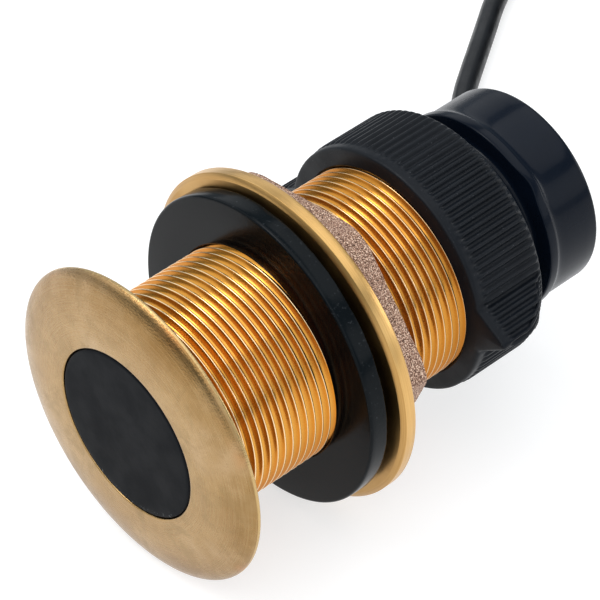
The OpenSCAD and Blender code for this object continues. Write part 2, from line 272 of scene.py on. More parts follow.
def bronze_nut():
    m = Mat("bronze_nut", metal=1.0)
    lx, ly, z, r = m.stem()
    cast = m.math("MULTIPLY", m.fit(z, 46.45, 46.7), m.fit(r, 38.9, 38.4))
    lathe_marks = m.noise(1.0, 4, 0.6, m.bands(14.0, 2.5))
    rim = m.ramp(m.noise(60, 3), (0.3, (0.665, 0.405, 0.145)), (0.7, (0.73, 0.470, 0.185)))
    rim = m.mix(m.fit(lathe_marks, 0.42, 0.66, 0.0, 0.60), rim, (0.50, 0.27, 0.080))
    rim = m.mix(m.fit(lathe_marks, 0.56, 0.66, 0.0, 0.35), rim, (0.56, 0.33, 0.11))
    # Painted reflection: the nut's front chamfer and front face are darkened all round, standing in for the dark washer
    # mirrored in them.
    rim = m.mix(m.fit(z, 43.72, 43.58, 0.0, 0.55), rim, (0.34, 0.180, 0.052))
    grit = m.noise(3600, 3, 0.65)
    sand = m.ramp(grit, (0.37, (0.030, 0.014, 0.010)), (0.46, (0.21, 0.108, 0.068)),
                  (0.54, (0.48, 0.285, 0.195)), (0.63, (0.95, 0.76, 0.60)))
    sand = m.mix(m.fit(m.noise(140, 3), 0.45, 0.7, 0.0, 0.22), sand, (0.36, 0.215, 0.165))
    color = m.mix(cast, rim, sand)
    rough = m.math("ADD", m.math("MULTIPLY", m.fit(lathe_marks, 0.3, 0.7, 0.28, 0.38),
                                 m.math("SUBTRACT", 1.0, cast)), m.math("MULTIPLY", cast, 0.62))
    metal = m.math("SUBTRACT", 1.0, m.math("MULTIPLY", cast, 0.45))
    h = m.math("ADD", m.math("MULTIPLY", m.math("MULTIPLY", grit, cast), 1.0),
               m.math("MULTIPLY", lathe_marks, 0.05))
    return m.set(color, rough, metal, m.bump(h, 0.55, 0.0005))


def black_plastic(name, dark, pale, r0, r1, grain=700.0, bump=0.10, mark=120.0, **fixed):
    m = Mat(name, **fixed)
    cloud = m.noise(mark, 4, 0.6)
    speck = m.fit(m.noise(2600, 2, 0.5), 0.70, 0.78)
    color = m.ramp(cloud, (0.3, dark), (0.7, pale))
    color = m.mix(m.math("MULTIPLY", speck, 0.30), color, (0.22, 0.23, 0.25))
    rough = m.fit(m.noise(mark*2.2, 3), 0.3, 0.7, r0, r1)
    return m.set(color, rough, normal=m.bump(m.noise(grain, 3), bump, 0.0002))


def cap_plastic():
    m = Mat("cap_plastic", Specular_IOR_Level=0.15)
    lx, ly, z, r = m.stem()
    cloud = m.noise(90, 4, 0.6)
    color = m.ramp(cloud, (0.3, (0.0030, 0.0044, 0.0068)), (0.7, (0.0054, 0.0073, 0.0104)))
    speck = m.fit(m.noise(2600, 2, 0.5), 0.70, 0.78)
    color = m.mix(m.math("MULTIPLY", speck, 0.30), color, (0.22, 0.23, 0.25))
    rough = m.fit(m.noise(198, 3), 0.3, 0.7, 0.36, 0.48)
    return m.set(color, rough, normal=m.bump(m.noise(900, 3), 0.08, 0.0002))


def washer_plastic():
    m = Mat("washer_plastic", Specular_IOR_Level=0.085)
    lx, ly, z, r = m.stem()
    edge = m.fit(r, 36.2, 36.8)
    ring = m.noise(1.0, 4, 0.6, m.rings(9.0, 2.5))
    color = m.ramp(ring, (0.3, (0.0008, 0.0011, 0.0015)), (0.7, (0.0014, 0.0018, 0.0024)))
    color = m.mix(edge, color, (0.0030, 0.0048, 0.0062))
    flash = m.math("MULTIPLY", m.fit(m.noise(1300, 3, 0.7), 0.60, 0.72), edge)
    color = m.mix(m.math("MULTIPLY", flash, 0.22), color, (0.10, 0.11, 0.12))
    rough = m.fit(ring, 0.3, 0.7, 0.15, 0.22)
    return m.set(color, rough, normal=m.bump(m.noise(800, 3), 0.06, 0.0002))


def insert_plastic():
    m = Mat("insert_plastic", Specular_IOR_Level=0.085, Coat_Weight=0.06, Coat_Roughness=0.08)
    cloud = m.noise(45, 3)
    color = m.ramp(cloud, (0.3, (0.0020, 0.0042, 0.009)), (0.7, (0.0032, 0.0062, 0.0125)))
    rough = m.fit(m.noise(70, 4, 0.6), 0.3, 0.7, 0.20, 0.28)
    return m.set(color, rough, normal=m.bump(m.noise(60, 2), 0.04, 0.002))


def window_urethane():
    m = Mat("window_urethane", Specular_IOR_Level=0.05)
    lx, ly, z, r = m.stem()
    cloud = m.noise(60, 4, 0.6)
    color = m.ramp(cloud, (0.3, (0.0036, 0.0043, 0.0056)), (0.7, (0.0046, 0.0054, 0.0070)))
    low = m.math("MULTIPLY", m.fit(r, 18.4, 19.4), m.math("MULTIPLY", m.fit(m.noise(1400, 2), 0.60, 0.68),
                                                          m.fit(lx, 9.0, 16.0)))
    color = m.mix(m.math("MULTIPLY", low, 0.5), color, (0.20, 0.21, 0.21))
    rough = m.fit(m.noise(150, 4), 0.3, 0.7, 0.46, 0.58)
    return m.set(color, rough, normal=m.bump(m.noise(1200, 3), 0.06, 0.0002))


def two_tone(name, a, b, scale, r0, r1, metal=0.0, bump=0.1, detail=4.0):
    m = Mat(name, metal=metal)
    f = m.noise(scale, detail)
    return m.set(m.ramp(f, (0.3, a), (0.7, b)), m.fit(f, 0.3, 0.7, r0, r1),
                 normal=m.bump(m.noise(scale*4, 3), bump, 0.0003))


M = {
    "bronze_housing": bronze_housing(),
    "bronze_nut": bronze_nut(),
    "washer_plastic": washer_plastic(),
    "cap_plastic": cap_plastic(),
    "insert_plastic": insert_plastic(),
    "window_urethane": window_urethane(),
    "boot_rubber": black_plastic("boot_rubber", (0.012, 0.012, 0.013), (0.020, 0.020, 0.022),
                                 0.45, 0.6, 900, 0.10, Specular_IOR_Level=0.3),
    "cable_jacket": black_plastic("cable_jacket", (0.004, 0.0045, 0.0055), (0.007, 0.008, 0.0095),
                                  0.30, 0.42, 1100, 0.08, Specular_IOR_Level=0.28),
    "tie_plastic": black_plastic("tie_plastic", (0.02, 0.02, 0.022), (0.035, 0.035, 0.037), 0.35, 0.5),
    "connector_plastic": black_plastic("connector_plastic", (0.018, 0.018, 0.02),
                                       (0.028, 0.028, 0.03), 0.4, 0.55),
    "connector_core": two_tone("connector_core", (0.08, 0.08, 0.085), (0.13, 0.13, 0.135), 500, 0.4, 0.55),
    "pin_gold": two_tone("pin_gold", (0.80, 0.56, 0.20), (0.90, 0.70, 0.32), 700, 0.18, 0.30, 1.0, 0.05),
    "piezo_ceramic": two_tone("piezo_ceramic", (0.66, 0.62, 0.53), (0.80, 0.77, 0.69), 300, 0.5, 0.7),
    "cork": two_tone("cork", (0.30, 0.18, 0.09), (0.62, 0.45, 0.27), 900, 0.8, 0.95, 0.0, 0.5, 6.0),
    "backing_foam": two_tone("backing_foam", (0.16, 0.155, 0.14), (0.30, 0.29, 0.27), 1200, 0.8, 0.95, 0.0, 0.4),
    "lead_red": two_tone("lead_red", (0.50, 0.03, 0.025), (0.66, 0.07, 0.05), 400, 0.4, 0.5),
    "lead_black": two_tone("lead_black", (0.02, 0.02, 0.02), (0.045, 0.045, 0.045), 400, 0.4, 0.5),
    "board_green": two_tone("board_green", (0.03, 0.17, 0.07), (0.06, 0.26, 0.11), 250, 0.3, 0.45),
    "ferrite": two_tone("ferrite", (0.07, 0.07, 0.075), (0.15, 0.15, 0.155), 700, 0.55, 0.75, 0.3),
    "potting_resin": two_tone("potting_resin", (0.05, 0.045, 0.04), (0.09, 0.085, 0.08), 120, 0.25, 0.4),
    "seal_rubber": two_tone("seal_rubber", (0.010, 0.010, 0.010), (0.022, 0.022, 0.022), 500, 0.4, 0.55),
}

# ---------------------------------------------------------------- mesh helpers


def add(name, verts, faces, slot, nodes=(), sharp=32.0, place=stem):
    """A piece from points in mm, with its faces turned outwards."""
    me = bpy.data.meshes.new(name)
    me.from_pydata(place(np.asarray(verts, float)).tolist(), [], faces)
    bm = bmesh.new()
    bm.from_mesh(me)
    bmesh.ops.recalc_face_normals(bm, faces=bm.faces)
    bm.to_mesh(me)
    bm.free()
    me.shade_smooth()
    me.set_sharp_from_angle(angle=math.radians(sharp))
    me.materials.append(M[slot])
    ob = bpy.data.objects.new(name, me)
    scene.collection.objects.link(ob)
    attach(ob, "root")
    if nodes:
        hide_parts(*nodes)
    return ob


class Shell:
    """Collects points and faces of one or more closed shells."""

    def __init__(self):
        self.v, self.f = [], []

    def points(self, p):
        k = len(self.v)
        self.v.extend(np.asarray(p, float).reshape(-1, 3).tolist())
        return k

    def grid(self, rows, wrap=True):
        """rows: (k, n, 3), closed round n; wrap also closes it over k."""
        rows = np.asarray(rows, float)
        k, n = rows.shape[:2]
        o = self.points(rows)
        for j in range(k if wrap else k - 1):
            a, b = o + j*n, o + ((j + 1) % k)*n
            for i in range(n):
                m = (i + 1) % n
                self.f.append((a + i, a + m, b + m, b + i))
        return o, k, n

    def capped(self, rows):
        """A grid closed at both ends by a fan."""
        o, k, n = self.grid(rows, False)
        for row, first in ((0, True), (k - 1, False)):
            ring = [o + row*n + i for i in range(n)]
            c = self.points(np.mean([self.v[i] for i in ring], 0))
            for i in range(n):
                a, b = ring[i], ring[(i + 1) % n]
                self.f.append((c, b, a) if first else (c, a, b))


def ring(n, r, z, shift=0.0):
    a = (np.arange(n) + shift)*2*math.pi/n
    r = np.broadcast_to(r, n)
    return np.stack([r*np.cos(a), r*np.sin(a), np.broadcast_to(z, n)], -1)


def lathe(profile, n):
    return np.array([ring(n, r, z) for r, z in profile])


def arc(cr, cz, rad, a0, a1, k):
    return [(cr + rad*math.cos(math.radians(a0 + (a1 - a0)*i/k)),
             cz + rad*math.sin(math.radians(a0 + (a1 - a0)*i/k))) for i in range(k + 1)]


def step(x, a, b):
    s = np.clip((np.asarray(x, float) - a)/(b - a), 0, 1)
    return s*s*(3 - 2*s)


def wobble(*coords, seed=1, octaves=4, base=1.0):
    """Smooth repeatable noise from sums of sines, about -1 to 1."""
    rng = np.random.default_rng(seed)
    c = np.stack(np.broadcast_arrays(*[np.asarray(x, float) for x in coords]), -1)
    out, amp, total = 0.0, 1.0, 0.0
    for o in range(octaves):
        for _ in range(5):
            d = rng.normal(size=c.shape[-1])*base*2.0**o
            out = out + amp*np.sin(c @ d + rng.uniform(0, 6.283))
            total += amp*0.5
        amp *= 0.6
    return out/total


# ---------------------------------------------------------------- cord
ROUTE = np.array([
    [101, 0, 42.8], [105.5, 0, 43.05], [110, 0, 43.3], [116.4, 0.5, 43.1],
    [122.4, 2.3, 41.45], [127.7, 5.1, 38.7], [131.7, 8.65, 34.9], [134.7, 12.65, 30.4],
    [136.8, 17.4, 25.2], [139.3, 23.9, 19.3], [142.3, 31.4, 13.4], [146.3, 39.8, 8.1],
    [151.3, 48.3, 4.7], [157.8, 57.2, 3.2], [165.4, 65.8, 3], [173.5, 73.2, 3],
    [182, 79.3, 3], [190.5, 85.1, 3], [200, 91.6, 3], [210, 98.4, 3],
    [217.3, 102.6, 3], [226, 106, 3.1], [235.2, 108.1, 3.3], [243.6, 108.7, 3.6],
    [255, 108.7, 4], [266.5, 108.7, 4.2]])
COIL = np.array([293.6, 51.7])
TIES = (132, 330)
COIL_Z, COIL_H, D = 1.2, 36.0, 6.0
PLUG_A, PLUG_R, TAIL_R = 170.0, 9.5, 42.0
PLUG_Z = COIL_Z + COIL_H + PLUG_R
TAIL_BEND, TAIL_IN = 30.0, 24.0
TAIL_TURN = math.degrees(math.atan2(TAIL_IN, TAIL_R - TAIL_BEND))
TAIL_ARC = math.radians(TAIL_TURN)*TAIL_BEND
TAIL_OUT = math.hypot(TAIL_R - TAIL_BEND, TAIL_IN) + TAIL_BEND


def polar(a, r, z):
    a = np.radians(a)
    return np.stack(np.broadcast_arrays(COIL[0] + r*np.cos(a), COIL[1] + r*np.sin(a), z), -1)


def plug_point(d):
    a = math.radians(PLUG_A)
    b = math.radians(PLUG_A + 90)
    return np.array([COIL[0] + TAIL_R*math.cos(a) + d*math.cos(b),
                     COIL[1] + TAIL_R*math.sin(a) + d*math.sin(b), PLUG_Z])


def cord_points():
    pts = [ROUTE, np.array([[280.0, 108.7, 4.2]])]
    per = 16
    a = 90.0
    inner, outer = 27.0, 57.0
    s5 = np.arange(0, 5*per)/per
    s1 = np.arange(0, per)/per
    for layer in range(6):
        z = COIL_Z + D/2 + D*layer
        inward = layer % 2 == 0
        r = outer - D*s5 if inward else inner + D*s5
        pts.append(polar(a - 360*s5, r, np.full(len(s5), z)))
        a -= 1800
        if layer < 5:
            bulge = 2.4*np.sin(np.pi*s1)
            r = inner - bulge if inward else outer + bulge
            pts.append(polar(a - 360*s1, r, z + D*step(s1, 0, 1)))
            a -= 360
    # From the outer edge of the last layer up on to the coil and round to the bend.
    top = COIL_Z + COIL_H + D/2
    join = PLUG_A + TAIL_TURN
    span = (a - join) % 360
    th = np.arange(0, 15)*span/15
    r = outer + (TAIL_OUT - outer)*step(th, 0, 60) + 2.2*np.sin(np.pi*np.clip(th/80, 0, 1))
    hump = 1.3*np.exp(-(((a - th - TIES[1] + 180) % 360 - 180)/16)**2)
    left = TAIL_ARC + np.radians(span - th)*TAIL_OUT
    climb = (PLUG_R - D/2)*(1 - step(left, 0, 50))
    pts.append(polar(a - th, r, top - D + D*step(th, 0, 66) + hump + climb))
    # The bend up to the connector.
    d = TAIL_ARC*np.arange(5, 0, -1)/5
    b = np.radians(PLUG_A) + d/TAIL_BEND
    mid = plug_point(TAIL_IN) - TAIL_BEND*np.array([math.cos(math.radians(PLUG_A)),
                                                    math.sin(math.radians(PLUG_A)), 0])
    pts.append(np.stack([mid[0] + TAIL_BEND*np.cos(b), mid[1] + TAIL_BEND*np.sin(b),
                         top + (PLUG_R - D/2)*(1 - step(d, 0, 50))], -1))
    pts.append(np.array([plug_point(TAIL_IN), plug_point(17), plug_point(10)]))
    return np.concatenate(pts)


cp = floor_mm(cord_points())
curve = bpy.data.curves.new("cable", "CURVE")
curve.dimensions = "3D"
curve.bevel_depth = D/2000
curve.bevel_resolution = 4
curve.resolution_u = 4
curve.use_fill_caps = True
sp = curve.splines.new("BEZIER")
sp.bezier_points.add(len(cp) - 1)
chord = np.diff(cp, axis=0)
size = np.linalg.norm(chord, axis=1)
way = chord/size[:, None]
for i, bp in enumerate(sp.bezier_points):
    j, k = max(i - 1, 0), min(i, len(way) - 1)
    t = way[j]*size[k] + way[k]*size[j]
    t /= np.linalg.norm(t)
    bp.handle_left_type = bp.handle_right_type = "FREE"
    bp.co = cp[i]
    bp.handle_left = cp[i] - t*size[j]*0.336
    bp.handle_right = cp[i] + t*size[k]*0.336
curve.materials.append(M["cable_jacket"])
cable = bpy.data.objects.new("cable", curve)
scene.collection.objects.link(cable)
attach(cable, "root")
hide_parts("cable_run", "cable_coil", "cable_tail")


def frames(p):
    t = np.gradient(p, axis=0)
    t /= np.linalg.norm(t, axis=1)[:, None]
    s = np.cross(t, [0, 0, 1.0])
    s /= np.linalg.norm(s, axis=1)[:, None]
    return t, s, np.cross(s, t)


def swept_rows(p, radii, n):
    t, s, b = frames(p)
    a = np.arange(n)*2*math.pi/n
    return (p[:, None] + np.asarray(radii)[:, None, None]*(np.cos(a)[None, :, None]*s[:, None]
            + np.sin(a)[None, :, None]*b[:, None]))


# Tapered boot with a flange on the recess floor and shallow grooves.
boot_line = np.array([[105.7, 0, 43.07], [110, 0, 43.3], [116.4, 0.5, 43.1], [122.4, 2.3, 41.45],
                      [127.7, 5.1, 38.7]])


def smooth_line(p, k):
    """Catmull-Rom through the points, k samples in all."""
    q = np.vstack([2*p[0] - p[1], p, 2*p[-1] - p[-2]])
    out = []
    for u in np.linspace(0, len(p) - 1 - 1e-9, k):
        i = int(u)
        x = u - i
        a, b, c, d = q[i:i + 4]
        out.append(0.5*(2*b + (c - a)*x + (2*a - 5*b + 4*c - d)*x*x + (3*b - a - 3*c + d)*x**3))
    return np.array(out)


bl = smooth_line(boot_line, 60)
bu = np.concatenate([[0], np.cumsum(np.linalg.norm(np.diff(bl, axis=0), axis=1))])
br = 5.7 - 1.9*bu/bu[-1] + 1.3*(1 - step(bu, 1.4, 2.4))
br = br - 0.45*np.clip(np.sin(bu*2*math.pi/3.2)*2.2, 0, 1)*step(bu, 3.0, 4.0)*(1 - step(bu, 21.5, 23.0))
br[-1] -= 0.3
inner_rows = swept_rows(bl, np.full(len(bl), 3.25), 32)
sh = Shell()
sh.grid(np.concatenate([swept_rows(bl, br, 32), inner_rows[::-1]]))
boot = add("strain_relief_boot", sh.v, sh.f, "boot_rubber", ["strain_relief"], 40, floor_mm)


# Two flat ties round the coil, each with its head on the outside.
def tie(sh, angle):
    c, s = math.cos(math.radians(angle)), math.sin(math.radians(angle))
    ri, ro, z0, z1 = 21.4, 62.6, 1.15, 37.3
    rad = 2.0
    loop = []
    for cx, cz, a0 in ((ro - rad, z1 - rad, 0), (ri + rad, z1 - rad, 90), (ri + rad, z0 + rad, 180),
                       (ro - rad, z0 + rad, 270)):
        for i in range(7):
            a = math.radians(a0 + 15*i)
            loop.append((cx, cz, math.cos(a), math.sin(a)))
    rows = []
    for w, off in ((-2.3, 0), (-2.5, 0.2), (-2.5, 0.9), (-2.3, 1.1), (2.3, 1.1), (2.5, 0.9), (2.5, 0.2), (2.3, 0)):
        rows.append([((cx + (rad + off)*ca)*c - w*s + COIL[0], (cx + (rad + off)*ca)*s + w*c + COIL[1],
                      cz + (rad + off)*sa) for cx, cz, ca, sa in loop])
    sh.grid(np.array(rows))
    # Head of the tie: a rounded block.
    hx, hz = ro + 1.0, 22.0
    rows = []
    for x, k in ((0, 0.86), (0.35, 1.0), (2.6, 1.0), (3.1, 0.84)):
        row = []
        for i in range(24):
            a = i*math.pi/12
            e = 0.45
            y = math.copysign(abs(math.cos(a))**e, math.cos(a))*3.9*k
            z = math.copysign(abs(math.sin(a))**e, math.sin(a))*3.2*k
            row.append(((hx + x)*c - y*s + COIL[0], (hx + x)*s + y*c + COIL[1], hz + z))
        rows.append(row)
    sh.capped(np.array(rows))


sh = Shell()
for ta in TIES:
    tie(sh, ta)
ties = add("coil_tie_bands", sh.v, sh.f, "tie_plastic", ["coil_ties"], 40, floor_mm)


def plug_place(p):
    """Connector frame: z towards its face."""
    p = np.asarray(p, float)
    a, b = math.radians(PLUG_A), math.radians(PLUG_A - 90)
    cx, cy = COIL[0] + TAIL_R*math.cos(a), COIL[1] + TAIL_R*math.sin(a)
    fx, fy = math.cos(b), math.sin(b)
    x, y, z = p[..., 0], p[..., 1], p[..., 2]
    return floor_mm(np.stack([cx + z*fx - y*fy, cy + z*fy + y*fx, PLUG_Z - x], -1))


sh = Shell()
relief = [(3.9 + 1.3*i/16 - (0.4 if i % 4 == 2 else 0), -20 + 8*i/16) for i in range(17)]
sh.grid(lathe([(3.05, -1.0), (3.05, -19.7), (3.3, -20)] + relief
              + [(7.0, -9.3), (7.4, -8.8), (7.4, -1.2), (7.15, -1.0), (7.15, -0.4), (7.4, -0.2), (7.4, 4.0),
                 (8.2, 4.0), (8.2, 19.6), (7.9, 20), (7.2, 20), (6.95, 19.7), (6.95, 9.05), (3.4, 9.0)], 64))
plug_body = add("connector_shell", sh.v, sh.f, "connector_plastic", ["connector_body"], 35, plug_place)

nk = 240
ka = np.arange(nk)*2*math.pi/nk
knurl = 0.32*(0.5 + 0.5*np.cos(30*ka))
rows = []
for r, z, k in ((8.25, 4, 0), (9.0, 4, 0), (9.45, 4.4, 0), (9.5, 5.6, 0), (9.5, 6.0, 1), (9.5, 15.6, 1), (9.5, 16.0, 0),
                (9.5, 17.5, 0), (9.1, 18, 0), (8.25, 18, 0)):
    rr = r - k*knurl
    rows.append(np.stack([rr*np.cos(ka), rr*np.sin(ka), np.full(nk, z)], -1))
sh = Shell()
sh.grid(np.array(rows))
plug_collar = add("connector_knurl", sh.v, sh.f, "connector_plastic", ["connector_collar"], 35, plug_place)

# ---------------------------------------------------------------- housing
NC = 144
P12 = 25.4/12


def housing():
    sh = Shell()
    face = [(20.45, 9.0), (20.45, 0.30), (20.52, 0.10), (20.68, 0.0), (21.0, 0.0)]
    for i in range(1, 23):
        q = math.radians(90*i/22)
        face.append((21.0 + 16.4*math.sin(q)**(1/1.1), 4.2*(1 - math.cos(q))))
    face += [(37.0 + 0.4*math.cos(math.radians(a)), 4.2 + 0.4*math.sin(math.radians(a)))
             for a in (22, 45, 68, 90)]
    face += [(31.0, 4.6), (26.4, 4.6), (25.2, 4.66), (24.5, 4.85), (24.2, 5.2)]
    lower = np.array([ring(NC, r, z, -0.5) for r, z in face])
    o0 = sh.points(lower)
    kl = len(face)
    for j in range(kl - 1):
        for i in range(NC):
            m = (i + 1) % NC
            sh.f.append((o0 + j*NC + i, o0 + j*NC + m, o0 + (j + 1)*NC + m, o0 + (j + 1)*NC + i))
    fr = o0 + (kl - 1)*NC

    # One helical strip: the crest is at u = 0 of each turn.
    u = np.array([0, 0.05, 0.075, 0.33, 0.37, 0.42, 0.49, 0.56, 0.64, 0.72, 0.79, 0.86, 0.915, 0.945, 0.97])
    h = np.array([0, 0.01, 0.07, 1.0, 1.08, 1.1, 1.055, 0.965, 0.822, 0.644, 0.462, 0.255, 0.105, 0.045, 0.01])
    K, turns = len(u), 37
    J = K*turns
    zs = 5.9
    jj = np.arange(J + 1)
    zj = zs + P12*(jj//K + u[jj % K])
    i = np.arange(NC)
    z = zj[None, :] + P12*i[:, None]/NC
    amp = step(z, 5.6, 8.9)*(1 - step(z, 84.6, 86.4))
    r = 24.2 + amp*(25.4 - h[jj % K][None, :] - 24.2)
    a = 2*math.pi*i/NC
    pts = np.stack([r*np.cos(a)[:, None], r*np.sin(a)[:, None], z], -1)
    o1 = sh.points(pts)

    def t(i, j):
        return o1 + i*(J + 1) + j

    for i in range(NC - 1):
        for j in range(J):
            sh.f.append((t(i, j), t(i + 1, j), t(i + 1, j + 1), t(i, j + 1)))
        sh.f.append((fr + i, fr + i + 1, t(i + 1, 0), t(i, 0)))
    for j in range(J - K):
        sh.f.append((t(NC - 1, j), t(0, j + K), t(0, j + K + 1), t(NC - 1, j + 1)))
    sh.f.append((fr + NC - 1, fr, t(0, K), t(NC - 1, 0)))
    for j in range(K):
        sh.f.append((fr, t(0, j), t(0, j + 1)) if j else (fr, t(0, 0), t(0, 1)))

    end = [(24.2, 86.6), (23.9, 87.0), (21.7, 87.0), (21.5, 86.8), (21.5, 10.05)]
    upper = np.array([ring(NC, r, z, -0.5) for r, z in end])
    o2 = sh.points(upper)
    for i in range(NC - 1):
        sh.f.append((t(i, J), t(i + 1, J), o2 + i + 1, o2 + i))
    sh.f.append((t(NC - 1, J), o2, o2 + NC - 1))
    for j in range(J - K, J):
        sh.f.append((t(NC - 1, j + 1), t(NC - 1, j), o2))
    sh.f.append((t(NC - 1, J - K), t(0, J), o2))
    ke = len(end)
    for j in range(ke - 1):
        for i in range(NC):
            m = (i + 1) % NC
            sh.f.append((o2 + j*NC + i, o2 + j*NC + m, o2 + (j + 1)*NC + m, o2 + (j + 1)*NC + i))
    last = o2 + (ke - 1)*NC
    for i in range(NC):
        m = (i + 1) % NC
        sh.f.append((last + i, last + m, o0 + m, o0 + i))
    return add("housing_casting", sh.v, sh.f, "bronze_housing", ["housing"], 50)


housing()


# ---------------------------------------------------------------- hull washer
def washer():
    n = 240
    a = np.arange(n)*2*math.pi/n
    c, s = np.cos(a), np.sin(a)
    rough = wobble(c*37, s*37, seed=5, octaves=4, base=0.5)
    prof = ([(25.65, 0.2), (25.85, 0.0), (30, 0.0)] + arc(36.30, 0.62, 0.62, -90, -8, 6) + [(36.95, 0.75)]
            + [(36.95, 1.6), (36.93, 3.0), (36.93, 3.9)] + arc(36.55, 4.22, 0.38, 0, 90, 4)
            + [(30, 4.6), (25.85, 4.6), (25.65, 4.4)])
    rows = []
    for r, z in prof:
        flash = 0.10*rough*step(z, 3.4, 4.2)*step(r, 35.8, 36.5)
        rows.append(np.stack([(r + flash)*c, (r + flash)*s, np.full(n, z) + flash*0.6], -1))
    p = np.array(rows)
    lean, turn = math.radians(-1.6), math.radians(131)
    x, y, z = p[..., 0], p[..., 1], p[..., 2]
    x, z = x*math.cos(lean) + z*math.sin(lean), -x*math.sin(lean) + z*math.cos(lean)
    x, y = x*math.cos(turn) - y*math.sin(turn), x*math.sin(turn) + y*math.cos(turn)
    sh = Shell()
    sh.grid(np.stack([x, y, z + 36.8], -1))
    return add("hull_washer_ring", sh.v, sh.f, "washer_plastic", ["hull_washer"], 30)


washer()


# ---------------------------------------------------------------- hull nut
def hull_nut():
    n = 480
    a = np.arange(n)*2*math.pi/n
    c, s = np.cos(a), np.sin(a)
    z0, af = 42.9, 60.4
    # Rounded hexagon: the soft minimum of the six flats.
    turn = math.radians(25.3)
    flats = np.stack([np.cos(a - turn - math.radians(30 + 60*k)) for k in range(6)], -1)
    r_hex = af/2/np.power(np.sum(np.clip(flats, 0, None)**64, -1), 1/64)
    rows = []

    def put(r, z, rough=0.0, base=0.9):
        r = np.broadcast_to(np.asarray(r, float), n)
        z = np.broadcast_to(np.asarray(z, float), n)
        if rough:
            d = wobble(r*c, r*s, z, seed=11, octaves=4, base=base)*rough
            r = r + d
        rows.append(np.stack([r*c, r*s, z0 + z], -1))

    for r, z in [(25.48, 0.4), (25.9, 0.0), (31, 0.0), (38.3, 0.0), (38.46, 0.03), (39.48, 0.66), (39.6, 0.80),
                 (39.6, 1.8), (39.6, 3.22), (39.5, 3.40), (39.2, 3.66), (39.0, 3.7), (38.0, 3.7)]:
        put(r, z)
    put(np.minimum(r_hex + 0.9, 37.6), 3.72, 0.03)
    put(np.minimum(r_hex + 0.3, 37.2), 3.9, 0.05)
    top = 12.6
    for z in (4.3, 4.9, 5.5, 6.1, 6.7, 7.3, 7.9, 8.5, 9.1, 9.7, 10.3, 10.9):
        put(r_hex, z, 0.09)
    for z, cut in ((11.4, 5.15), (11.65, 4.6), (11.9, 4.1), (12.15, 3.55), (12.35, 3.1)):
        put(np.minimum(r_hex - 0.05*(z - 11.2), af/2 + cut), z, 0.08)
    put(np.minimum(r_hex - 0.18, af/2 + 2.6), 12.5, 0.07)
    put(np.minimum(r_hex - 0.5, af/2 + 2.2), top, 0.05)
    put(np.minimum(r_hex, af/2) - 1.4, top, 0.05)
    put(27.6, top - 0.05)
    put(26.6, top - 0.1)
    put(25.48, top - 1.0)
    sh = Shell()
    sh.grid(np.array(rows))
    return add("hull_nut_body", sh.v, sh.f, "bronze_nut", ["hull_nut"], 40)


hull_nut()


